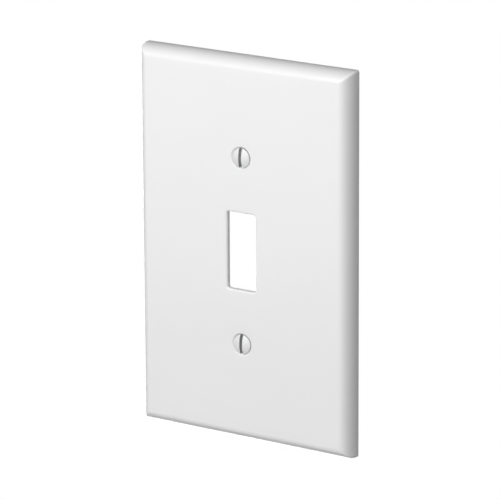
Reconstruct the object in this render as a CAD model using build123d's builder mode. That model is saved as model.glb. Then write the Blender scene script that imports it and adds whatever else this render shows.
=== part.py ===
from build123d import *
from math import radians, tan
import os

# Midway-size wall plate for one toggle switch, with its two captive mounting screws.
#
# The frame is the wall's: the origin is the middle of the plate on the wall surface, +X runs to the
# right of someone facing the plate, +Z is up, and -Y points out of the wall into the room. Heights
# are distances in front of the wall surface, so a height h lies at y = -h. Everything is in
# millimetres.

INCH = 25.4

# Plate: one moulded shell, 3 1/8 in wide, 4 7/8 in tall and 1/4 in deep
PLATE_WIDTH = 3.125 * INCH
PLATE_HEIGHT = 4.875 * INCH
PLATE_DEPTH = 0.25 * INCH
FACE_THICKNESS = 1.7
RIM_THICKNESS = 2.0
ROLL_WIDTH = 3.8
ROLL_DEPTH = 5.8
CORNER_RADIUS = 0.8
FACE_LAP = 0.02
SIDE_DRAFT = 3.0

# Toggle opening, with a stiffening frame behind the face that stands back from its edge
OPENING_WIDTH = 10.7
OPENING_HEIGHT = 24.9
OPENING_CORNER = 0.8
OPENING_LIP = 0.7
FRAME_LEDGE = 1.6

# Screw holes, on the centre line at the standard spacing of a switch's threaded holes
SCREW_SPACING = 2.375 * INCH
HOLE_RADIUS = 2.0
COUNTERSINK_RADIUS = 3.7
COUNTERSINK_ANGLE = 82.0
BOSS_RADIUS = 5.0

# Heights of the rear edges behind the face. A washer and the switch's strap fit behind the bosses.
BOSS_REAR = 2.9
RIB_REAR = 0.8
RIB_THICKNESS = 1.2
SPINE_RIB_X = 3.2
UPRIGHT_RIB_X = 25.0
CROSS_RIB_HEIGHTS = (-42.0, -14.0, 14.0, 42.0)

# Screw: No. 6-32 UNC by 1/2 in, with a slotted oval head and a thread rolled on a thinner blank
SCREW_LENGTH = 0.5 * INCH
THREAD_RADIUS = 0.138 / 2 * INCH
THREAD_PITCH = INCH / 32
THREAD_DEPTH = 0.613 * THREAD_PITCH
THREAD_CREST = THREAD_PITCH / 8
THREAD_HALF_ANGLE = 30.0
GROOVE_LEAD = 0.2
NECK_RADIUS = 1.5
NECK_LENGTH = 0.8
TIP_CHAMFER = 0.5
HEAD_RADIUS = 3.2
HEAD_LAND = 0.35
DOME_HEIGHT = 0.95
SLOT_WIDTH = 1.1
SLOT_DEPTH = 1.5
SEAT_CLEARANCE = 0.05

# Retaining washer: a fibre disc pushed onto the thread, which keeps the screw in the plate
WASHER_RADIUS = 4.0
WASHER_THICKNESS = 0.8
WASHER_CLEARANCE = 0.04

cavity_depth = PLATE_DEPTH - FACE_THICKNESS
roll_end = PLATE_DEPTH + FACE_LAP
roll_start = roll_end - ROLL_DEPTH
roll_inset = roll_start * tan(radians(SIDE_DRAFT))
cone_slope = tan(radians(COUNTERSINK_ANGLE / 2))
head_recess = (COUNTERSINK_RADIUS - HEAD_RADIUS) / cone_slope
neck_start = HEAD_LAND + (HEAD_RADIUS - NECK_RADIUS) / cone_slope
thread_start = neck_start + NECK_LENGTH
thread_shoulder = THREAD_RADIUS - NECK_RADIUS

# Planes across the two screw axes on the wall surface: each plane's own Z points into the room
screw_planes = [Plane.XZ.shift_origin((0, 0, side * SCREW_SPACING / 2)) for side in (1, -1)]
upper_plane, lower_plane = screw_planes

# Planes of the plate's two sections, each with its own Y pointing into the room
side_to_side = Plane((0, 0, 0), x_dir=(1, 0, 0), z_dir=(0, 0, -1))
top_to_bottom = Plane((0, 0, 0), x_dir=(0, 0, 1), z_dir=(1, 0, 0))

# The hollow behind the face follows the outside, one wall thickness in
with BuildPart() as hollow:
    with BuildSketch(Plane.XZ):
        Rectangle(PLATE_WIDTH - 2 * RIM_THICKNESS, PLATE_HEIGHT - 2 * RIM_THICKNESS)
    extrude(amount=cavity_depth, taper=SIDE_DRAFT)
    fillet(hollow.faces().sort_by(Axis.Y)[0].edges(), ROLL_WIDTH - RIM_THICKNESS)

with BuildPart() as wall_plate:
    # Two bars cross here, one with the plate's section from side to side and one with its section
    # from top to bottom. Each has short drafted sides and quarter-ellipse rolls onto the face. The
    # rolls meet in mitred corners, which are softened, and the last of the roll is lapped off flat.
    for section, width, length, mode in (
        (side_to_side, PLATE_WIDTH, PLATE_HEIGHT, Mode.ADD),
        (top_to_bottom, PLATE_HEIGHT, PLATE_WIDTH, Mode.INTERSECT),
    ):
        roll_foot = width / 2 - roll_inset
        roll_centre = roll_foot - ROLL_WIDTH
        with BuildSketch(section):
            with BuildLine():
                Polyline((0, roll_end), (0, 0), (width / 2, 0), (roll_foot, roll_start))
                EllipticalCenterArc(
                    (roll_centre, roll_start), ROLL_WIDTH, ROLL_DEPTH, start_angle=0, arc_size=90
                )
                Line((roll_centre, roll_end), (0, roll_end))
            make_face()
            mirror(about=Plane.YZ)
        extrude(amount=length / 2, both=True, mode=mode)
    flat_x = PLATE_WIDTH / 2 - 2 * ROLL_WIDTH
    flat_z = PLATE_HEIGHT / 2 - 2 * ROLL_WIDTH
    corner_edges = wall_plate.edges().filter_by(
        lambda edge: abs(edge.center().X) > flat_x and abs(edge.center().Z) > flat_z
    )
    fillet(corner_edges, CORNER_RADIUS)
    split(bisect_by=Plane.XZ.offset(PLATE_DEPTH), keep=Keep.BOTTOM)
    add(hollow.part, mode=Mode.SUBTRACT)

    # Bosses round the screw holes and a frame round the opening, tied together by spine ribs
    with BuildSketch(Plane.XZ.offset(BOSS_REAR)):
        with Locations((0, SCREW_SPACING / 2), (0, -SCREW_SPACING / 2)):
            Circle(BOSS_RADIUS)
        with Locations((-SPINE_RIB_X, 0), (SPINE_RIB_X, 0)):
            Rectangle(RIB_THICKNESS, SCREW_SPACING)
        for step_back, mode in ((FRAME_LEDGE + RIB_THICKNESS, Mode.ADD), (FRAME_LEDGE, Mode.SUBTRACT)):
            RectangleRounded(
                OPENING_WIDTH + 2 * step_back,
                OPENING_HEIGHT + 2 * step_back,
                OPENING_CORNER + step_back,
                mode=mode,
            )
    extrude(amount=cavity_depth - BOSS_REAR)

    # Upright ribs on both sides of the strap, and cross ribs from them out to the side walls
    with BuildSketch(Plane.XZ.offset(RIB_REAR)):
        rib_run = PLATE_WIDTH / 2 - RIM_THICKNESS - UPRIGHT_RIB_X
        for side in (-1, 1):
            with Locations((side * UPRIGHT_RIB_X, 0)):
                Rectangle(RIB_THICKNESS, PLATE_HEIGHT - 2 * RIM_THICKNESS)
            with Locations(*[(side * (UPRIGHT_RIB_X + rib_run / 2), z) for z in CROSS_RIB_HEIGHTS]):
                Rectangle(rib_run, RIB_THICKNESS)
    extrude(amount=cavity_depth - RIB_REAR)

    # Toggle opening, with its front lip rounded over
    with BuildSketch(Plane.XZ):
        RectangleRounded(OPENING_WIDTH, OPENING_HEIGHT, OPENING_CORNER)
    extrude(amount=PLATE_DEPTH, mode=Mode.SUBTRACT)
    fillet(wall_plate.faces().sort_by(Axis.Y)[0].inner_wires().edges(), OPENING_LIP)

    # Countersunk clearance holes for the screws
    with Locations(*[plane.offset(PLATE_DEPTH) for plane in screw_planes]):
        CounterSinkHole(HOLE_RADIUS, COUNTERSINK_RADIUS, PLATE_DEPTH, COUNTERSINK_ANGLE)
wall_plate.part.label = "wall_plate"

# One screw in its own frame: Z = 0 at the foot of its domed top, the shank runs down to the tip
with BuildPart() as screw:
    with BuildSketch(Plane.XZ):
        with BuildLine():
            dome_radius = (HEAD_RADIUS**2 + DOME_HEIGHT**2) / (2 * DOME_HEIGHT)
            RadiusArc((0, DOME_HEIGHT), (HEAD_RADIUS, 0), dome_radius)
            Polyline(
                (HEAD_RADIUS, 0),
                (HEAD_RADIUS, -HEAD_LAND),
                (NECK_RADIUS, -neck_start),
                (NECK_RADIUS, -thread_start),
                (THREAD_RADIUS, -thread_start - thread_shoulder),
                (THREAD_RADIUS, -SCREW_LENGTH + TIP_CHAMFER),
                (THREAD_RADIUS - TIP_CHAMFER, -SCREW_LENGTH),
                (0, -SCREW_LENGTH),
                (0, DOME_HEIGHT),
            )
        make_face()
    revolve(axis=Axis.Z)
    with BuildSketch(Plane.XY.offset(DOME_HEIGHT - SLOT_DEPTH)):
        Rectangle(SLOT_WIDTH, 2 * HEAD_RADIUS)
    extrude(amount=SLOT_DEPTH, mode=Mode.SUBTRACT)

    # Right-hand thread: a groove swept down a helix, from the neck to a full turn past the tip
    groove_top = GROOVE_LEAD - thread_start
    groove_bottom = -SCREW_LENGTH - THREAD_PITCH
    with BuildLine() as helix:
        Helix(
            THREAD_PITCH,
            groove_top - groove_bottom,
            THREAD_RADIUS,
            center=(0, 0, groove_top),
            direction=(0, 0, -1),
        )
    with BuildSketch(Plane(helix.line @ 0, x_dir=(-1, 0, 0), z_dir=helix.line % 0)):
        flank_slope = tan(radians(THREAD_HALF_ANGLE))
        half_mouth = (THREAD_PITCH - THREAD_CREST) / 2
        half_root = half_mouth - THREAD_DEPTH * flank_slope
        overshoot = 0.7 * THREAD_CREST
        half_outside = half_mouth + overshoot * flank_slope
        with BuildLine():
            Polyline(
                (overshoot, half_outside),
                (-THREAD_DEPTH, half_root),
                (-THREAD_DEPTH, -half_root),
                (overshoot, -half_outside),
                close=True,
            )
        make_face()
    sweep(path=helix.line, is_frenet=True, mode=Mode.SUBTRACT)

# Both screws stand seated in their countersinks with their slots upright
seated_height = PLATE_DEPTH - head_recess + HEAD_LAND + SEAT_CLEARANCE

with BuildPart() as upper_screw:
    with Locations(upper_plane.offset(seated_height)):
        add(screw.part)
upper_screw.part.label = "upper_screw"

with BuildPart() as lower_screw:
    with Locations(lower_plane.offset(seated_height)):
        add(screw.part)
lower_screw.part.label = "lower_screw"

# The washers rest level with the wall surface
with BuildPart() as upper_retaining_washer:
    with BuildSketch(upper_plane):
        Circle(WASHER_RADIUS)
        Circle(THREAD_RADIUS + WASHER_CLEARANCE, mode=Mode.SUBTRACT)
    extrude(amount=WASHER_THICKNESS)
upper_retaining_washer.part.label = "upper_retaining_washer"

with BuildPart() as lower_retaining_washer:
    with BuildSketch(lower_plane):
        Circle(WASHER_RADIUS)
        Circle(THREAD_RADIUS + WASHER_CLEARANCE, mode=Mode.SUBTRACT)
    extrude(amount=WASHER_THICKNESS)
lower_retaining_washer.part.label = "lower_retaining_washer"

os.makedirs("parts", exist_ok=True)
export_step(wall_plate.part, "parts/wall_plate.step")
export_step(upper_screw.part, "parts/upper_screw.step")
export_step(lower_screw.part, "parts/lower_screw.step")
export_step(upper_retaining_washer.part, "parts/upper_retaining_washer.step")
export_step(lower_retaining_washer.part, "parts/lower_retaining_washer.step")
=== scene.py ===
"""Looks of a wall plate for one toggle switch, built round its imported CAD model.

The axes are the CAD frame's: +X to the right of someone facing the plate, +Z up, -Y out of the wall.
Mesh code works in millimetres and scales to metres once, when a mesh becomes an object. A height is
a distance in front of the wall surface, so a height h is y = -h.
"""

from collections import namedtuple
from math import acos, atan2, cos, hypot, pi, radians, sin, sqrt, tan

import bmesh
import bpy
import numpy as np
from mathutils import Matrix, Vector
from mathutils.geometry import delaunay_2d_cdt


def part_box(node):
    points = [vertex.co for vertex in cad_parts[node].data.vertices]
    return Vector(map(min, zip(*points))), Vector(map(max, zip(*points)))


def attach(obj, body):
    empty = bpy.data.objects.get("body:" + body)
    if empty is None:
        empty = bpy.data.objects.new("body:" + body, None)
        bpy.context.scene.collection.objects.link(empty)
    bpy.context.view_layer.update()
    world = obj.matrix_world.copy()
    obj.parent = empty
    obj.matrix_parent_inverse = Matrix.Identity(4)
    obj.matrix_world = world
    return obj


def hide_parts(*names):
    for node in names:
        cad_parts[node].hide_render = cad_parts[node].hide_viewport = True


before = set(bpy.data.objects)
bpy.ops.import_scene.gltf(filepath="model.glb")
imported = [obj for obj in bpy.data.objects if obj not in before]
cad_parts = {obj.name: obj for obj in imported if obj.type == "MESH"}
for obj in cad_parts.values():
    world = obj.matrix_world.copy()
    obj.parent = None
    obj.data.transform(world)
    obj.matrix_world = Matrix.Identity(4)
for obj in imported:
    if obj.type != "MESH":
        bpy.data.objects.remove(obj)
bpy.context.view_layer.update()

MM = 0.001

# Plate
FACE_THICKNESS = 1.7
RIM_THICKNESS = 2.0
ROLL_WIDTH = 3.8
ROLL_DEPTH = 5.8
CORNER_RADIUS = 0.8
INNER_CORNER_RADIUS = 1.2
SIDE_DRAFT = radians(3.0)
REAR_EDGE = 0.15
MITRE_RADIUS = 0.12

# Toggle opening and screw holes
OPENING = (10.7, 24.9)
OPENING_CORNER = 0.8
OPENING_LIP = 0.7
HOLE_RADIUS = 2.0
COUNTERSINK_RADIUS = 3.7
COUNTERSINK_SLOPE = tan(radians(41.0))
COUNTERSINK_EDGE = 0.12

# Bosses and ribs behind the face
BOSS_RADIUS = 5.0
BOSS_REAR = 2.9
RIB_REAR = 0.8
RIB_THICKNESS = 1.2
RIB_DRAFT = radians(1.5)
RIB_FOOT = 0.4
RIB_CORNER = 0.25
FRAME_LEDGE = 1.6
SPINE_RIB_X = 3.2
UPRIGHT_RIB_X = 25.0
CROSS_RIB_HEIGHTS = (-42.0, -14.0, 14.0, 42.0)
EJECTOR_RADIUS = 2.2
EJECTOR_HEIGHT = 0.08
EJECTOR_SPOTS = [(x, z) for x in (-14.0, 14.0) for z in (-50.0, -18.0, 18.0, 50.0)]

# Screw, along its own axis from the foot of its domed top
SCREW_LENGTH = 12.7
HEAD_RADIUS = 3.2
HEAD_LAND = 0.35
DOME_HEIGHT = 0.95
SLOT_WIDTH = 1.1
SLOT_DEPTH = 1.5
SLOT_FLOOR = SLOT_DEPTH - DOME_HEIGHT
SLOT_LIP = 0.1
HEAD_RIM = 0.3
NECK_RADIUS = 1.5
NECK_LENGTH = 0.8
THREAD_RADIUS = 1.7526
THREAD_PITCH = 25.4 / 32
THREAD_DEPTH = 0.613 * THREAD_PITCH
THREAD_CREST = THREAD_PITCH / 8
FLANK_WIDTH = THREAD_DEPTH * tan(radians(30.0))
ROOT_START = THREAD_CREST + FLANK_WIDTH
ROOT_END = THREAD_PITCH - FLANK_WIDTH
TIP_CHAMFER = 0.5
TIP_DIMPLE = 0.12

# Retaining washer
BORE_CLEARANCE = 0.04
WASHER_CUP = 0.1
WASHER_EDGE = 0.1

# Mesh fineness
ROLL_STEPS = 24
CORNER_STEPS = 10
CIRCLE_STEPS = 72
BOSS_STEPS = 48
EDGE_STEPS = 3
LIP_STEPS = 6
RIB_STEP = 2.5
FOOT_STEPS = 5
GRID_STEP = 3.0
SIDE_COUNTS = (24, 38)
OPENING_SIDE_COUNTS = (6, 12)
HALF_HEAD_STEPS = 32
SLOT_STEPS = 4
SLOT_WALL_STEPS = 3
DOME_STEPS = 10
WELD_DISTANCE = 0.0008
SHARP_ANGLE = radians(38.0)


def box_mm(node):
    """Lowest and highest corner of a CAD node, in millimetres."""
    low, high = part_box(node)
    return np.array(low) / MM, np.array(high) / MM


plate_low, plate_high = box_mm("wall_plate")
HALF_WIDTH = (plate_high[0] - plate_low[0]) / 2
HALF_HEIGHT = (plate_high[2] - plate_low[2]) / 2
PLATE_DEPTH = -plate_low[1]
CAVITY_DEPTH = PLATE_DEPTH - FACE_THICKNESS


def screw_height(node):
    """Height of a screw's axis above the middle of the plate."""
    low, high = box_mm(node)
    return (low[2] + high[2]) / 2


SCREW_HEIGHTS = [screw_height("upper_screw"), screw_height("lower_screw")]


# ---------------------------------------------------------------- mesh tools


class Surface:
    """Points and faces of one piece in millimetres, joined where their points meet."""

    def __init__(self):
        self.points = []
        self.faces = []
        self.finishes = []

    def add(self, points, faces, finish=0):
        first = len(self.points)
        self.points.extend(tuple(point) for point in points)
        self.faces.extend(tuple(first + corner for corner in face) for face in faces)
        self.finishes.extend([finish] * len(faces))

    def loft(self, rows, closed=True):
        """Skins between rows of equally many points. A closed row joins its end to its start."""
        count = len(rows[0])
        spans = count if closed else count - 1
        faces = []
        for row in range(len(rows) - 1):
            for column in range(spans):
                following = (column + 1) % count
                faces.append((
                    row * count + column,
                    row * count + following,
                    (row + 1) * count + following,
                    (row + 1) * count + column,
                ))
        self.add([point for row in rows for point in row], faces)

    def to_object(self, name, materials):
        mesh = bpy.data.meshes.new(name)
        mesh.from_pydata([Vector(point) * MM for point in self.points], [], self.faces)
        for material in materials:
            mesh.materials.append(material)
        mesh.polygons.foreach_set("material_index", self.finishes)
        shape = bmesh.new()
        shape.from_mesh(mesh)
        bmesh.ops.remove_doubles(shape, verts=shape.verts, dist=WELD_DISTANCE * MM)
        bmesh.ops.dissolve_degenerate(shape, edges=shape.edges, dist=WELD_DISTANCE * MM / 4)
        bmesh.ops.recalc_face_normals(shape, faces=shape.faces)
        shape.to_mesh(mesh)
        shape.free()
        mesh.shade_smooth()
        mesh.set_sharp_from_angle(angle=SHARP_ANGLE)
        piece = bpy.data.objects.new(name, mesh)
        bpy.context.scene.collection.objects.link(piece)
        piece.modifiers.new("weighted_normals", "WEIGHTED_NORMAL").keep_sharp = True
        return piece


def rounded_path(corners, steps=EDGE_STEPS):
    """A path of straight lines through corners (a, b, radius), each corner rounded to an arc.

    The first and the last corner stay as they are and need no radius.
    """
    path = [np.array(corners[0][:2])]
    for before, corner, after in zip(corners, corners[1:], corners[2:]):
        point, radius = np.array(corner[:2]), corner[2]
        back = np.array(before[:2]) - point
        ahead = np.array(after[:2]) - point
        back = back / np.linalg.norm(back)
        ahead = ahead / np.linalg.norm(ahead)
        half = acos(np.clip(back @ ahead, -1, 1)) / 2
        middle = back + ahead
        centre = point + middle / np.linalg.norm(middle) * radius / sin(half)
        spoke = point + back * radius / tan(half) - centre
        turn = (pi - 2 * half) * np.sign(ahead[0] * back[1] - ahead[1] * back[0])
        for step in range(steps + 1):
            c, s = cos(turn * step / steps), sin(turn * step / steps)
            path.append(centre + (c * spoke[0] - s * spoke[1], s * spoke[0] + c * spoke[1]))
    path.append(np.array(corners[-1][:2]))
    return path


def rounded_rectangle(half_x, half_z, radius, side_counts, arc_steps=CORNER_STEPS):
    """Points round a rounded rectangle: side_counts are the spans along X and along Z."""
    signs = ((1, 1), (-1, 1), (-1, -1), (1, -1))
    centres = [np.array((sx * (half_x - radius), sz * (half_z - radius))) for sx, sz in signs]
    points = []
    for quarter, centre in enumerate(centres):
        for step in range(arc_steps + 1):
            angle = (quarter + step / arc_steps) * pi / 2
            points.append(centre + (radius * cos(angle), radius * sin(angle)))
        count = side_counts[quarter % 2]
        side = centres[(quarter + 1) % 4] - centre
        start = points[-1]
        points.extend(start + side * step / count for step in range(1, count))
    return points


def circle(centre_x, centre_z, radius, steps=CIRCLE_STEPS):
    """Points round a circle in X and Z."""
    angles = [2 * pi * step / steps for step in range(steps)]
    return [np.array((centre_x + radius * cos(a), centre_z + radius * sin(a))) for a in angles]


def at_height(outline, height):
    """An outline in X and Z, stood at a height in front of the wall surface."""
    return [(x, -height, z) for x, z in outline]


def grid_points(half_x, half_z):
    """Loose points between outlines, which keep the triangles of a flat even."""
    xs = np.arange(-half_x + GRID_STEP, half_x - GRID_STEP / 2, GRID_STEP)
    zs = np.arange(-half_z + GRID_STEP, half_z - GRID_STEP / 2, GRID_STEP)
    return np.array([(x, z) for x in xs for z in zs])


def inside_any(outlines, points):
    """Which points lie inside an outline: a line off to their right crosses it an odd number of
    times.
    """
    x, z = points.T
    found = np.zeros(len(points), dtype=bool)
    for outline in outlines:
        odd = np.zeros(len(points), dtype=bool)
        for (x0, z0), (x1, z1) in zip(outline, outline[1:] + outline[:1]):
            if z0 != z1:
                passes = (z0 > z) != (z1 > z)
                odd ^= passes & (x < x0 + (x1 - x0) * (z - z0) / (z1 - z0))
        found |= odd
    return found


def triangulate(outlines, loose):
    """Triangles that follow every outline, over all of them together."""
    points, edges = [], []
    for outline in outlines:
        first, count = len(points), len(outline)
        points.extend(Vector(point) for point in outline)
        edges.extend((first + i, first + (i + 1) % count) for i in range(count))
    points.extend(Vector(point) for point in loose)
    corners, _, faces, _, _, _ = delaunay_2d_cdt(points, edges, [], 0, WELD_DISTANCE / 4)
    return np.array([tuple(corner) for corner in corners]), faces


def add_sheet(surface, outlines, holes, loose, height_of, finish):
    """A triangulated sheet over the outlines, left open inside the holes."""
    loose = loose[~inside_any(holes, loose)]
    corners, faces = triangulate(outlines + holes, loose)
    is_open = inside_any(holes, corners[np.array(faces)].mean(axis=1))
    heights = height_of(corners[:, 0], corners[:, 1])
    points = np.column_stack((corners[:, 0], -heights, corners[:, 1]))
    surface.add(points, [face for face, hole in zip(faces, is_open) if not hole], finish)


# ---------------------------------------------------------------- plate

# Something that stands on the inside of the face: distance(x, z) is negative within its top,
# outlines(offset) are its outlines that far out from its top edge.
Feature = namedtuple("Feature", "distance outlines height foot draft")


def rectangle_distance(x, z, centre_x, centre_z, half_x, half_z, radius):
    """Distance outside a rounded rectangle, negative inside it."""
    beyond_x = np.abs(x - centre_x) - (half_x - radius)
    beyond_z = np.abs(z - centre_z) - (half_z - radius)
    outside = np.hypot(np.maximum(beyond_x, 0), np.maximum(beyond_z, 0))
    return outside + np.minimum(np.maximum(beyond_x, beyond_z), 0) - radius


def opening_outline(step_back):
    """The toggle opening's outline, a step back from its edge all round."""
    return rounded_rectangle(
        OPENING[0] / 2 + step_back,
        OPENING[1] / 2 + step_back,
        OPENING_CORNER + step_back,
        OPENING_SIDE_COUNTS,
    )


def opening_distance(x, z):
    """Distance outside the toggle opening, negative inside it."""
    return rectangle_distance(x, z, 0, 0, OPENING[0] / 2, OPENING[1] / 2, OPENING_CORNER)


def rib(centre_x, centre_z, half_x, half_z, height):
    """A straight rib with a square-ended plan."""
    side_counts = [max(2, round(2 * half / RIB_STEP)) for half in (half_x, half_z)]

    def distance(x, z):
        return rectangle_distance(x, z, centre_x, centre_z, half_x, half_z, RIB_CORNER)

    def outlines(offset):
        outline = rounded_rectangle(
            half_x + offset, half_z + offset, RIB_CORNER + offset, side_counts, arc_steps=3
        )
        return [[point + (centre_x, centre_z) for point in outline]]

    return Feature(distance, outlines, height, RIB_FOOT, RIB_DRAFT)


def boss(centre_x, centre_z, radius, height, foot):
    """A round boss, or a low round mark."""

    def outlines(offset):
        return [circle(centre_x, centre_z, radius + offset, BOSS_STEPS)]

    def distance(x, z):
        return np.hypot(x - centre_x, z - centre_z) - radius

    return Feature(distance, outlines, height, foot, RIB_DRAFT)


def opening_frame(height):
    """The rib that runs round the toggle opening, a ledge away from its edge."""
    middle = FRAME_LEDGE + RIB_THICKNESS / 2

    def distance(x, z):
        return np.abs(opening_distance(x, z) - middle) - RIB_THICKNESS / 2

    def outlines(offset):
        half = RIB_THICKNESS / 2 + offset
        return [opening_outline(middle - half), opening_outline(middle + half)]

    return Feature(distance, outlines, height, RIB_FOOT, RIB_DRAFT)


def plate_rim():
    """The plate's rim, whose inner side is a rounded rectangle with a large foot fillet."""
    half_x, half_z = HALF_WIDTH - RIM_THICKNESS, HALF_HEIGHT - RIM_THICKNESS

    def distance(x, z):
        return -rectangle_distance(x, z, 0, 0, half_x, half_z, INNER_CORNER_RADIUS)

    def outlines(offset):
        radius = max(INNER_CORNER_RADIUS - offset, 0)
        return [rounded_rectangle(half_x - offset, half_z - offset, radius, SIDE_COUNTS)]

    return Feature(distance, outlines, CAVITY_DEPTH, ROLL_WIDTH - RIM_THICKNESS, SIDE_DRAFT)


def back_features():
    """Everything that stands up from the inside of the face, towards the wall."""
    boss_height = CAVITY_DEPTH - BOSS_REAR
    rib_height = CAVITY_DEPTH - RIB_REAR
    half_rib = RIB_THICKNESS / 2
    rim_middle = RIM_THICKNESS / 2
    features = [plate_rim(), opening_frame(boss_height)]
    spine_start = OPENING[1] / 2 + FRAME_LEDGE + half_rib
    for screw_z in SCREW_HEIGHTS:
        side = np.sign(screw_z)
        spine_end = abs(screw_z) - BOSS_RADIUS / 2
        spine_half = (spine_end - spine_start) / 2
        features.append(boss(0, screw_z, BOSS_RADIUS, boss_height, RIB_FOOT))
        spine_z = side * (spine_start + spine_half)
        for x in (-SPINE_RIB_X, SPINE_RIB_X):
            features.append(rib(x, spine_z, half_rib, spine_half, boss_height))
    cross_end = HALF_WIDTH - rim_middle
    cross_half = (cross_end - UPRIGHT_RIB_X) / 2
    for side in (-1, 1):
        cross_x = side * (UPRIGHT_RIB_X + cross_half)
        features.append(rib(side * UPRIGHT_RIB_X, 0, half_rib, HALF_HEIGHT - rim_middle, rib_height))
        for z in CROSS_RIB_HEIGHTS:
            features.append(rib(cross_x, z, cross_half, half_rib, rib_height))
    for x, z in EJECTOR_SPOTS:
        features.append(boss(x, z, EJECTOR_RADIUS, EJECTOR_HEIGHT, EJECTOR_HEIGHT / 4))
    return features


def side_profile(feature):
    """(distance, height) down a feature's side: rounded top edge, drafted wall, foot fillet."""
    edge = min(REAR_EDGE, feature.height / 2)
    profile = []
    for step in range(EDGE_STEPS + 1):
        angle = step / EDGE_STEPS * pi / 2
        profile.append((edge * (sin(angle) - 1), feature.height - edge * (1 - cos(angle))))
    wall_run = (feature.height - edge - feature.foot) * tan(feature.draft)
    for step in range(FOOT_STEPS + 1):
        angle = step / FOOT_STEPS * pi / 2
        profile.append((wall_run + feature.foot * (1 - cos(angle)), feature.foot * (1 - sin(angle))))
    return profile


def add_plate_back(surface, border, holes):
    """The hollow behind the face as one sheet, as high at each point as its highest feature."""
    features = back_features()
    profiles = [side_profile(feature) for feature in features]
    outlines = [border]
    for feature, profile in zip(features, profiles):
        for distance, _ in profile:
            outlines.extend(feature.outlines(distance))

    def height_of(x, z):
        stand = np.zeros_like(x)
        for feature, profile in zip(features, profiles):
            stand = np.maximum(stand, np.interp(feature.distance(x, z), *zip(*profile)))
        return CAVITY_DEPTH - stand

    loose = grid_points(HALF_WIDTH - 2 * RIM_THICKNESS, HALF_HEIGHT - 2 * RIM_THICKNESS)
    add_sheet(surface, outlines, holes, loose, height_of, finish=1)


def plate_outside_rows():
    """Rows from the rear edge up the drafted side and over the rolled front edge."""
    rows = []

    def add_row(inset, height, radius):
        outline = rounded_rectangle(HALF_WIDTH - inset, HALF_HEIGHT - inset, radius, SIDE_COUNTS)
        rows.append((outline, height))

    for step in range(EDGE_STEPS + 1):
        angle = step / EDGE_STEPS * pi / 2
        height = REAR_EDGE * (1 - cos(angle))
        add_row(REAR_EDGE * (1 - sin(angle)) + height * tan(SIDE_DRAFT), height, CORNER_RADIUS)
    roll_start = PLATE_DEPTH - ROLL_DEPTH
    for step in range(ROLL_STEPS + 1):
        angle = step / ROLL_STEPS * pi / 2
        across, out = ROLL_WIDTH * cos(angle), ROLL_DEPTH * sin(angle)
        inset = roll_start * tan(SIDE_DRAFT) + ROLL_WIDTH - across
        # The corner fillet shows less in a level cut where the roll is less steep.
        steepness = cos(angle) / ROLL_WIDTH / hypot(cos(angle) / ROLL_WIDTH, sin(angle) / ROLL_DEPTH)
        add_row(inset, roll_start + out, max(CORNER_RADIUS * steepness, MITRE_RADIUS))
    return rows


def opening_rows():
    """Rows round the toggle opening, from the face over its rounded lip to its rear edge."""
    face = (OPENING_LIP * 2, PLATE_DEPTH)
    lip = (0, PLATE_DEPTH, OPENING_LIP)
    rear = (0, CAVITY_DEPTH, REAR_EDGE)
    path = rounded_path([face, lip, rear, (REAR_EDGE * 2, CAVITY_DEPTH)], steps=LIP_STEPS)[1:-1]
    return [(opening_outline(step_back), height) for step_back, height in path]


def screw_hole_rows(centre_z):
    """Rows round a screw hole: softened edge, countersink, bore and rear edge."""
    cone_end = PLATE_DEPTH - (COUNTERSINK_RADIUS - HOLE_RADIUS) / COUNTERSINK_SLOPE
    path = rounded_path([
        (COUNTERSINK_RADIUS + 1, PLATE_DEPTH),
        (COUNTERSINK_RADIUS, PLATE_DEPTH, COUNTERSINK_EDGE),
        (HOLE_RADIUS, cone_end, COUNTERSINK_EDGE),
        (HOLE_RADIUS, BOSS_REAR, REAR_EDGE),
        (HOLE_RADIUS + 1, BOSS_REAR),
    ])[1:-1]
    return [(circle(0, centre_z, radius), height) for radius, height in path]


def make_plate():
    """The plate as one closed mesh: outside, opening and holes, the flat of its face and its back."""
    surface = Surface()
    outside = plate_outside_rows()
    opening = opening_rows()
    screw_holes = [screw_hole_rows(z) for z in SCREW_HEIGHTS]
    for rows in [outside, opening] + screw_holes:
        surface.loft([at_height(outline, height) for outline, height in rows])
    flat = outside[-1][0]
    flat_x, flat_z = np.max(flat, axis=0)

    def face_height(x, _):
        return np.full_like(x, PLATE_DEPTH)

    front_holes = [rows[0][0] for rows in [opening] + screw_holes]
    add_sheet(surface, [flat], front_holes, grid_points(flat_x, flat_z), face_height, finish=0)
    add_plate_back(surface, outside[0][0], [rows[-1][0] for rows in [opening] + screw_holes])
    piece = surface.to_object("moulded_plate", [glossy_plastic(), textured_plastic()])
    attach(piece, "plate")
    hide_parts("wall_plate")


# ---------------------------------------------------------------- screws


def dome(radius):
    """Position along the screw's axis of its domed top, at a radius."""
    sphere = (HEAD_RADIUS**2 + DOME_HEIGHT**2) / (2 * DOME_HEIGHT)
    return sphere - DOME_HEIGHT - sqrt(sphere**2 - radius**2)


def head_side_radius(along):
    """Radius of the head's land and cone at a position along the axis."""
    return HEAD_RADIUS - max(along - HEAD_LAND, 0) * COUNTERSINK_SLOPE


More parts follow.
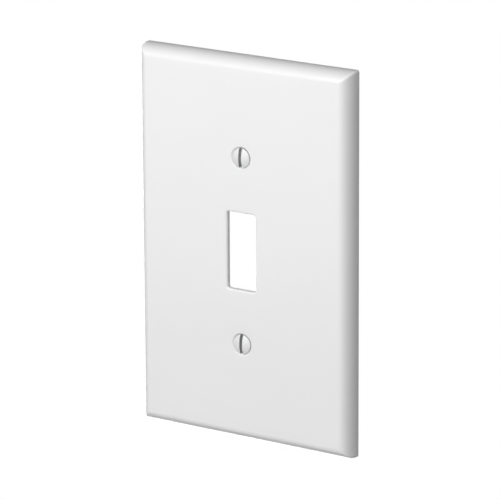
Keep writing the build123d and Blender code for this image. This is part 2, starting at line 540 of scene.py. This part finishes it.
def half_head_row(share):
    """One row over half a slotted head: up the slot wall, over the dome and down the side.

    share runs from -1 to 1, from one end of the slot to the other.
    """
    slot_x = SLOT_WIDTH / 2
    side_levels = [0, HEAD_LAND, (HEAD_LAND + SLOT_FLOOR) / 2, SLOT_FLOOR]
    # Edges stay soft along the slot and sharpen at its ends, where lip and rim meet in a point.
    softening = 1 - share**8

    def on_side(along):
        radius = head_side_radius(along)
        angle = share * acos(slot_x / radius)
        return radius * cos(angle), radius * sin(angle), along

    wall = []
    for along in reversed(side_levels):
        _, z, _ = on_side(along)
        wall.append((slot_x, z, along))
    rim_x, rim_z, _ = on_side(0)
    lip_top = dome(hypot(slot_x, rim_z))
    lip_end = slot_x + 4 * SLOT_LIP
    lip = rounded_path([
        (slot_x, SLOT_FLOOR),
        (slot_x, lip_top, SLOT_LIP * softening),
        (lip_end, dome(min(hypot(lip_end, rim_z), HEAD_RADIUS))),
    ])[1:-1]
    for step in range(1, SLOT_WALL_STEPS):
        wall.append((slot_x, rim_z, lip[0][1] * step / SLOT_WALL_STEPS))
    row = wall + [(x, rim_z, along) for x, along in lip]
    rim_inner = HEAD_RADIUS - 2 * HEAD_RIM
    rim = rounded_path([
        (rim_inner, dome(rim_inner)),
        (HEAD_RADIUS, 0, HEAD_RIM * softening),
        (HEAD_RADIUS, HEAD_LAND),
    ])[1:-1]
    rim_angle = atan2(rim_z, rim_x)
    first = np.array((lip[-1][0], rim_z))
    last = np.array((cos(rim_angle), sin(rim_angle))) * rim[0][0]
    for step in range(1, DOME_STEPS):
        x, z = first + (last - first) * step / DOME_STEPS
        row.append((x, z, dome(min(hypot(x, z), HEAD_RADIUS))))
    row.extend((radius * cos(rim_angle), radius * sin(rim_angle), along) for radius, along in rim)
    row.extend(on_side(along) for along in side_levels[1:])
    return row


def add_screw_head(surface, place):
    """Two halves of the head, and the slot's floor between them."""
    shares = [2 * step / HALF_HEAD_STEPS - 1 for step in range(HALF_HEAD_STEPS + 1)]
    rows = [half_head_row(share) for share in shares]
    surface.loft([[place(*point) for point in row] for row in rows], closed=False)
    surface.loft([[place(-x, z, along) for x, z, along in row] for row in rows], closed=False)
    floor_radius = head_side_radius(SLOT_FLOOR)
    across = [SLOT_WIDTH * (step / SLOT_STEPS - 0.5) for step in range(SLOT_STEPS + 1)]
    end_z = sqrt(floor_radius**2 - (SLOT_WIDTH / 2) ** 2)
    floor = []
    for row in rows:
        reach = row[0][1] / end_z
        floor.append([place(x, reach * sqrt(floor_radius**2 - x**2), SLOT_FLOOR) for x in across])
    surface.loft(floor, closed=False)


def ring_angles(blend):
    """Angles round the shank: in step with the slotted head at 0, evenly spaced at 1."""
    floor_radius = head_side_radius(SLOT_FLOOR)
    slot_angle = acos(SLOT_WIDTH / 2 / floor_radius)
    count = 2 * (HALF_HEAD_STEPS + SLOT_STEPS)
    stepped = [slot_angle * (2 * step / HALF_HEAD_STEPS - 1) for step in range(HALF_HEAD_STEPS)]
    for step in range(SLOT_STEPS):
        stepped.append(acos(SLOT_WIDTH * (0.5 - step / SLOT_STEPS) / floor_radius))
    stepped += [angle + pi for angle in stepped]
    first = -pi * HALF_HEAD_STEPS / count
    even = [first + 2 * pi * step / count for step in range(count)]
    return [a + (b - a) * blend for a, b in zip(stepped, even)]


def thread_cut(turns):
    """Depth of the thread groove at a number of turns along it."""
    return np.interp(
        (turns % 1) * THREAD_PITCH,
        (0, THREAD_CREST, ROOT_START, ROOT_END, THREAD_PITCH),
        (0, 0, THREAD_DEPTH, THREAD_DEPTH, 0),
    )


def thread_rows(start, place):
    """Rows that wind round the shank with the thread, held between its shoulder and its tip."""
    angles = ring_angles(1)
    marks = (
        0,
        THREAD_CREST,
        THREAD_CREST + FLANK_WIDTH / 2,
        ROOT_START,
        ROOT_END,
        THREAD_PITCH - FLANK_WIDTH / 2,
    )
    turns = int((SCREW_LENGTH - start) / THREAD_PITCH) + 2
    shoulder = THREAD_RADIUS - NECK_RADIUS

    def radius_at(along, wound):
        # The groove deepens over its first turn.
        run_in = min((along - start) / THREAD_PITCH, 1)
        outside = min(NECK_RADIUS + along - start, THREAD_RADIUS)
        cut = thread_cut(wound) * run_in
        tip = THREAD_RADIUS - TIP_CHAMFER + SCREW_LENGTH - along
        return min(outside, THREAD_RADIUS - cut, tip)

    rows = []
    for turn in range(-1, turns):
        for mark in marks:
            row = []
            for angle in angles:
                wound_by = angle / (2 * pi) * THREAD_PITCH
                along = start + shoulder + turn * THREAD_PITCH + mark - wound_by
                along = min(max(along, start), SCREW_LENGTH)
                wound = (along - start - shoulder + wound_by) / THREAD_PITCH
                radius = radius_at(along, wound)
                row.append(place(radius * cos(angle), radius * sin(angle), along))
            rows.append(row)
    return rows


def make_screw(name, node, body):
    """A slotted oval-head screw, in place of a CAD screw and seated where that one is."""
    low, high = box_mm(node)
    centre_x, centre_z = (low[0] + high[0]) / 2, (low[2] + high[2]) / 2
    foot_y = high[1] - SCREW_LENGTH

    def place(x, z, along):
        return centre_x + x, foot_y + along, centre_z + z

    def ring(radius, along, blend):
        angles = ring_angles(blend)
        return [place(radius * cos(angle), radius * sin(angle), along) for angle in angles]

    surface = Surface()
    add_screw_head(surface, place)
    cone_end = HEAD_LAND + (HEAD_RADIUS - NECK_RADIUS) / COUNTERSINK_SLOPE
    thread_start = cone_end + NECK_LENGTH
    shank = rounded_path([
        (head_side_radius(SLOT_FLOOR), SLOT_FLOOR),
        (NECK_RADIUS, cone_end, NECK_LENGTH / 4),
        (NECK_RADIUS, thread_start),
    ])
    rows = [ring(radius, along, min(1, step)) for step, (radius, along) in enumerate(shank)]
    rows += thread_rows(thread_start, place)
    tip_radius = THREAD_RADIUS - TIP_CHAMFER
    # The cut-off end: flat at its edge, with a shallow dimple in the middle.
    for share, dimple in ((0.75, 0), (0.6, 0.5), (0.3, 1), (0, 1)):
        rows.append(ring(share * tip_radius, SCREW_LENGTH - dimple * TIP_DIMPLE, 1))
    surface.loft(rows)
    piece = surface.to_object(name, [painted_steel()])
    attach(piece, body)
    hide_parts(node)


# ---------------------------------------------------------------- washers


def make_washer(name, node, body):
    """A punched fibre disc, slightly cupped where the thread was pushed through it."""
    low, high = box_mm(node)
    centre_x, centre_z = (low[0] + high[0]) / 2, (low[2] + high[2]) / 2
    outer = (high[0] - low[0]) / 2
    bore = THREAD_RADIUS + BORE_CLEARANCE
    front, rear = low[1], high[1]
    path = rounded_path([
        (bore, (front + rear) / 2),
        (bore, front, WASHER_EDGE),
        (outer, front + WASHER_CUP, WASHER_EDGE),
        (outer, rear, WASHER_EDGE),
        (bore, rear - WASHER_CUP, WASHER_EDGE),
        (bore, (front + rear) / 2),
    ])
    surface = Surface()
    rows = []
    for radius, y in path:
        rows.append([(x, y, z) for x, z in circle(centre_x, centre_z, radius)])
    surface.loft(rows)
    piece = surface.to_object(name, [vulcanised_fibre()])
    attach(piece, body)
    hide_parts(node)


# ---------------------------------------------------------------- materials

# Linear colours, most of them as the darkest and the lightest of their mottling
PLASTIC = ((0.800, 0.799, 0.802), (0.822, 0.821, 0.824))
ENAMEL = ((0.75, 0.75, 0.75), (0.78, 0.78, 0.78))
ZINC = ((0.52, 0.54, 0.56), (0.70, 0.70, 0.68))
FIBRE = ((0.16, 0.035, 0.022), (0.34, 0.09, 0.055))
FIBRE_SPECKLE = (0.42, 0.16, 0.10)
# The floor's pale grey, and the dark grey of the painted shade on its right
FLOOR_GREYS = ((0.78, 0.78, 0.78), (0.35, 0.35, 0.35))

# Where the enamel ends, in millimetres: past the foot of the domed top and down the slot. The bare zinc
# beyond these ends is painted shade for the gap round the head and for the deep slot
PAINT_OVERLAP = 0.02
PAINT_FADE = 0.15
PAINT_RAGGEDNESS = 0.1
SLOT_PAINT_DEPTH = 0.45
SLOT_PAINT_FADE = 0.2


class Nodes:
    """Short forms for building one material's or the world's node tree."""

    def __init__(self, tree):
        self.tree = tree
        tree.nodes.clear()

    def node(self, kind, **values):
        """A new node. Each value goes to the socket of that name, or else to the node's own setting."""
        made = self.tree.nodes.new("ShaderNode" + kind)
        sockets = {socket.name.lower().replace(" ", "_"): socket for socket in made.inputs}
        for name, value in values.items():
            if name in sockets:
                self.feed(sockets[name], value)
            else:
                setattr(made, name, value)
        return made

    def feed(self, socket, value):
        if isinstance(value, bpy.types.NodeSocket):
            self.tree.links.new(value, socket)
        else:
            socket.default_value = value

    def math(self, operation, first, second=0.0):
        made = self.tree.nodes.new("ShaderNodeMath")
        made.operation = operation
        self.feed(made.inputs[0], first)
        self.feed(made.inputs[1], second)
        return made.outputs[0]

    def map_range(self, value, low, high, to_low, to_high):
        made = self.tree.nodes.new("ShaderNodeMapRange")
        for socket, number in zip(made.inputs, (value, low, high, to_low, to_high)):
            self.feed(socket, number)
        return made.outputs[0]

    def mix_colour(self, factor, first, second):
        """A mix of two colours, each of them a socket or (r, g, b)."""
        made = self.tree.nodes.new("ShaderNodeMix")
        made.data_type = "RGBA"
        self.feed(made.inputs[0], factor)
        for socket, colour in ((made.inputs[6], first), (made.inputs[7], second)):
            self.feed(socket, (*colour, 1) if isinstance(colour, tuple) else colour)
        return made.outputs[2]

    def noise(self, where, size, detail=3.0, roughness=0.5):
        """Noise whose features are about size metres across, from 0 to 1."""
        made = self.node("TexNoise", vector=where, scale=1 / size, detail=detail, roughness=roughness)
        return made.outputs[0]

    def bump(self, height, relief):
        """A bump of a height field, where relief is the depth of a full step in metres."""
        return self.node("Bump", height=height, distance=relief).outputs[0]


def new_material(name):
    """A material, its node builder, and where on the piece a point is."""
    material = bpy.data.materials.new(name)
    material.use_nodes = True
    nodes = Nodes(material.node_tree)
    where = nodes.node("TexCoord").outputs["Object"]
    return material, nodes, where


def finish_material(nodes, shader):
    """Leads a shader to the material's output."""
    output = nodes.node("OutputMaterial")
    nodes.feed(output.inputs["Surface"], shader.outputs[0])


def plastic_shader(nodes, where, roughness, normal):
    """White thermoplastic: a slightly translucent body with faint mottling from the melt."""
    mottle = nodes.noise(where, size=0.03, detail=4)
    colour = nodes.mix_colour(mottle, *PLASTIC)
    shader = nodes.node("BsdfPrincipled", roughness=roughness, normal=normal, ior=1.49)
    nodes.feed(shader.inputs["Base Color"], colour)
    shader.inputs["Subsurface Weight"].default_value = 0.08
    shader.inputs["Subsurface Radius"].default_value = (1.0, 0.97, 0.92)
    shader.inputs["Subsurface Scale"].default_value = 0.0005
    return shader


def glossy_plastic():
    """The polished front: a soft mirror finish with a trace of orange peel and handling haze."""
    material, nodes, where = new_material("white_gloss_plastic")
    haze = nodes.noise(where, size=0.012, detail=5, roughness=0.6)
    roughness = nodes.map_range(haze, 0.3, 0.7, 0.10, 0.14)
    peel = nodes.noise(where, size=0.0022, detail=1)
    normal = nodes.bump(peel, relief=0.0000025)
    finish_material(nodes, plastic_shader(nodes, where, roughness, normal))
    return material


def textured_plastic():
    """The back: the fine spark-eroded texture that a mould's core keeps."""
    material, nodes, where = new_material("white_textured_plastic")
    grain = nodes.noise(where, size=0.00035, detail=4, roughness=0.7)
    flow = nodes.noise(where, size=0.02, detail=2)
    roughness = nodes.map_range(flow, 0.3, 0.7, 0.42, 0.52)
    normal = nodes.bump(grain, relief=0.00003)
    finish_material(nodes, plastic_shader(nodes, where, roughness, normal))
    return material


def painted_steel():
    """White enamel on the domed top only, and bare zinc plating in the slot and on the head's side,
    which is painted shade for the deep slot and the gap round the head.
    """
    material, nodes, where = new_material("white_enamel_on_zinc")
    low, high = box_mm("upper_screw")
    paint_end = (high[1] - SCREW_LENGTH + PAINT_OVERLAP) * MM
    slot_paint_end = (low[1] + SLOT_PAINT_DEPTH) * MM
    place = nodes.node("SeparateXYZ", vector=where)
    ragged = nodes.noise(where, size=0.0006, detail=4)
    raggedness = nodes.math("MULTIPLY", ragged, PAINT_RAGGEDNESS * MM)
    depth = nodes.math("ADD", place.outputs["Y"], raggedness)
    # Painted shade: below the dome's foot the head's side is bare, darker zinc, for the shadowed gap
    # round the head.
    on_side = nodes.map_range(depth, paint_end, paint_end + PAINT_FADE * MM, 0, 1)
    # Painted shade: deep in the slot the zinc is bare, for the shade inside the slot.
    painted_slot_shade = nodes.map_range(depth, slot_paint_end, slot_paint_end + SLOT_PAINT_FADE * MM, 0, 1)
    across = nodes.math("ABSOLUTE", place.outputs["X"])
    in_slot = nodes.math("LESS_THAN", across, (SLOT_WIDTH / 2 + SLOT_LIP / 2) * MM)
    # Bare zinc as painted shade, on the head's side or deep in the slot, in place of the enamel.
    painted_shade_bare_zinc = nodes.math("MAXIMUM", on_side, nodes.math("MULTIPLY", painted_slot_shade, in_slot))

    peel = nodes.noise(where, size=0.0005, detail=2)
    enamel = nodes.node("BsdfPrincipled", normal=nodes.bump(peel, relief=0.000004))
    nodes.feed(enamel.inputs["Base Color"], nodes.mix_colour(peel, *ENAMEL))
    nodes.feed(enamel.inputs["Roughness"], nodes.map_range(peel, 0.3, 0.7, 0.38, 0.48))

    stain = nodes.noise(where, size=0.002, detail=5, roughness=0.65)
    zinc = nodes.node("BsdfPrincipled", metallic=1.0)
    nodes.feed(zinc.inputs["Base Color"], nodes.mix_colour(stain, *ZINC))
    nodes.feed(zinc.inputs["Roughness"], nodes.map_range(stain, 0.25, 0.75, 0.22, 0.42))
    grain = nodes.noise(where, size=0.00012, detail=2)
    nodes.feed(zinc.inputs["Normal"], nodes.bump(grain, relief=0.000006))

    mix = nodes.node("MixShader")
    nodes.feed(mix.inputs[0], painted_shade_bare_zinc)
    nodes.feed(mix.inputs[1], enamel.outputs[0])
    nodes.feed(mix.inputs[2], zinc.outputs[0])
    finish_material(nodes, mix)
    return material


def vulcanised_fibre():
    """Red-brown vulcanised fibre: pressed paper with streaks of lighter and darker fibres."""
    material, nodes, where = new_material("red_vulcanised_fibre")
    stretched = nodes.node("Mapping", vector=where)
    stretched.inputs["Scale"].default_value = (1, 1, 4)
    streaks = nodes.noise(stretched.outputs[0], size=0.0012, detail=6, roughness=0.7)
    speckle = nodes.noise(where, size=0.0003, detail=2)
    body = nodes.mix_colour(streaks, *FIBRE)
    speckled = nodes.map_range(speckle, 0.55, 0.75, 0, 0.5)
    colour = nodes.mix_colour(speckled, body, FIBRE_SPECKLE)
    shader = nodes.node("BsdfPrincipled", normal=nodes.bump(streaks, relief=0.00004))
    nodes.feed(shader.inputs["Base Color"], colour)
    nodes.feed(shader.inputs["Roughness"], nodes.map_range(streaks, 0.3, 0.7, 0.6, 0.8))
    finish_material(nodes, shader)
    return material


# ---------------------------------------------------------------- studio

# Angles are in degrees. Azimuth 0 is in front of the plate and 90 is to its right.
CAMERA_AZIMUTH = 34.28
CAMERA_ELEVATION = 15.27
CAMERA_ROLL = -0.283
CAMERA_DISTANCE = 1.254
CAMERA_LENS = 287.8
CAMERA_AIM = Vector((-0.00097, 0.0, -0.00092))
FLOOR_DROP = 0.35
FLOOR_SIZE = 8.0

# The world's even light, and its lobes as (azimuth, strength, sharpness)
WORLD_BASE = 0.03
WORLD_LOBES = (
    (10, 2.24, 1.3),
    (-90, 0.06, 1.0),
)


def direction(azimuth, elevation):
    """Unit vector from the plate towards an azimuth and elevation."""
    a, e = radians(azimuth), radians(elevation)
    return Vector((sin(a) * cos(e), -cos(a) * cos(e), sin(e)))


def make_camera():
    """A long lens that looks down on the plate from the right."""
    back = direction(CAMERA_AZIMUTH, CAMERA_ELEVATION)
    level = direction(CAMERA_AZIMUTH + 90, 0)
    upright = back.cross(level)
    roll = radians(CAMERA_ROLL)
    right = level * cos(roll) + upright * sin(roll)
    up = back.cross(right)
    data = bpy.data.cameras.new("camera")
    data.lens = CAMERA_LENS
    data.clip_start = 0.05
    camera = bpy.data.objects.new("camera", data)
    turned = Matrix((right, up, back)).transposed().to_4x4()
    camera.matrix_world = Matrix.Translation(CAMERA_AIM + back * CAMERA_DISTANCE) @ turned
    bpy.context.scene.collection.objects.link(camera)
    bpy.context.scene.camera = camera


def white_to_camera(nodes, lighting):
    """Pure white where the camera looks, and the given shader for everything else."""
    seen = nodes.node("LightPath").outputs["Is Camera Ray"]
    white = nodes.node("Background" if lighting.type == "BACKGROUND" else "Emission")
    white.inputs["Color"].default_value = (1, 1, 1, 1)
    white.inputs["Strength"].default_value = 1.0
    mix = nodes.node("MixShader")
    nodes.feed(mix.inputs[0], seen)
    nodes.feed(mix.inputs[1], lighting.outputs[0])
    nodes.feed(mix.inputs[2], white.outputs[0])
    return mix


def make_world():
    """A pale studio: an even base, and lobes of more light from some sides."""
    world = bpy.data.worlds.new("studio")
    world.use_nodes = True
    nodes = Nodes(world.node_tree)
    where = nodes.node("TexCoord").outputs["Generated"]
    strength = WORLD_BASE
    for azimuth, extra, sharpness in WORLD_LOBES:
        facing = nodes.node("VectorMath", operation="DOT_PRODUCT")
        nodes.feed(facing.inputs[0], where)
        facing.inputs[1].default_value = direction(azimuth, 0)
        lobe = nodes.math("POWER", nodes.math("MAXIMUM", facing.outputs["Value"], 0.0), sharpness)
        strength = nodes.math("ADD", nodes.math("MULTIPLY", lobe, extra), strength)
    lighting = nodes.node("Background")
    nodes.feed(lighting.inputs["Strength"], strength)
    output = nodes.node("OutputWorld")
    nodes.feed(output.inputs["Surface"], white_to_camera(nodes, lighting).outputs[0])
    bpy.context.scene.world = world


def make_floor():
    """A pale floor some way below the plate, with painted shade that darkens it towards the right, so
    that it bounces less light onto the plate's right side.
    """
    surface = Surface()
    half = FLOOR_SIZE / 2 / MM
    drop = plate_low[2] - FLOOR_DROP / MM
    corners = [(x, y, drop) for x, y in ((-half, -half), (half, -half), (half, half), (-half, half))]
    surface.add(corners, [(0, 1, 2, 3)])
    material, nodes, where = new_material("pale_floor")
    matt = nodes.node("BsdfDiffuse")
    mottle = nodes.noise(where, size=0.5, detail=2)
    # Painted shade: on top of its mottling the floor darkens towards the right, and so bounces less
    # light onto the plate's right side.
    rightward = nodes.node("SeparateXYZ", vector=where).outputs["X"]
    shade = nodes.math("ADD", mottle, nodes.map_range(rightward, -0.2, 0.5, 0.0, 1.0))
    nodes.feed(matt.inputs["Color"], nodes.mix_colour(shade, *FLOOR_GREYS))
    finish_material(nodes, white_to_camera(nodes, matt))
    floor = surface.to_object("floor", [material])


def make_softbox(name, azimuth, elevation, distance, size, power):
    """A rectangular softbox that faces the plate."""
    data = bpy.data.lights.new(name, "AREA")
    data.shape = "RECTANGLE"
    data.size, data.size_y = size
    data.energy = power
    light = bpy.data.objects.new(name, data)
    aim = direction(azimuth, elevation)
    light.location = aim * distance
    light.rotation_mode = "QUATERNION"
    light.rotation_quaternion = aim.to_track_quat("Z", "Y")
    bpy.context.scene.collection.objects.link(light)


def make_studio():
    make_camera()
    make_world()
    make_floor()
    make_softbox("top_softbox", azimuth=0, elevation=40, distance=0.4, size=(0.4, 0.2), power=0.62)
    make_softbox("low_softbox", azimuth=-35, elevation=-6, distance=0.835, size=(0.5, 0.3), power=0.30)
    make_softbox("edge_softbox", azimuth=-38, elevation=26, distance=1.5, size=(0.6, 0.2), power=0.4)
    make_softbox("back_softbox", azimuth=210, elevation=-12, distance=0.8, size=(0.5, 0.5), power=4.5)
    make_softbox("under_softbox", azimuth=0, elevation=-75, distance=0.33, size=(0.4, 0.2), power=0.08)
    bpy.context.scene.view_settings.view_transform = "Standard"


make_plate()
make_screw("upper_oval_screw", "upper_screw", "upper_screw")
make_screw("lower_oval_screw", "lower_screw", "lower_screw")
make_washer("upper_fibre_washer", "upper_retaining_washer", "upper_washer")
make_washer("lower_fibre_washer", "lower_retaining_washer", "lower_washer")
make_studio()
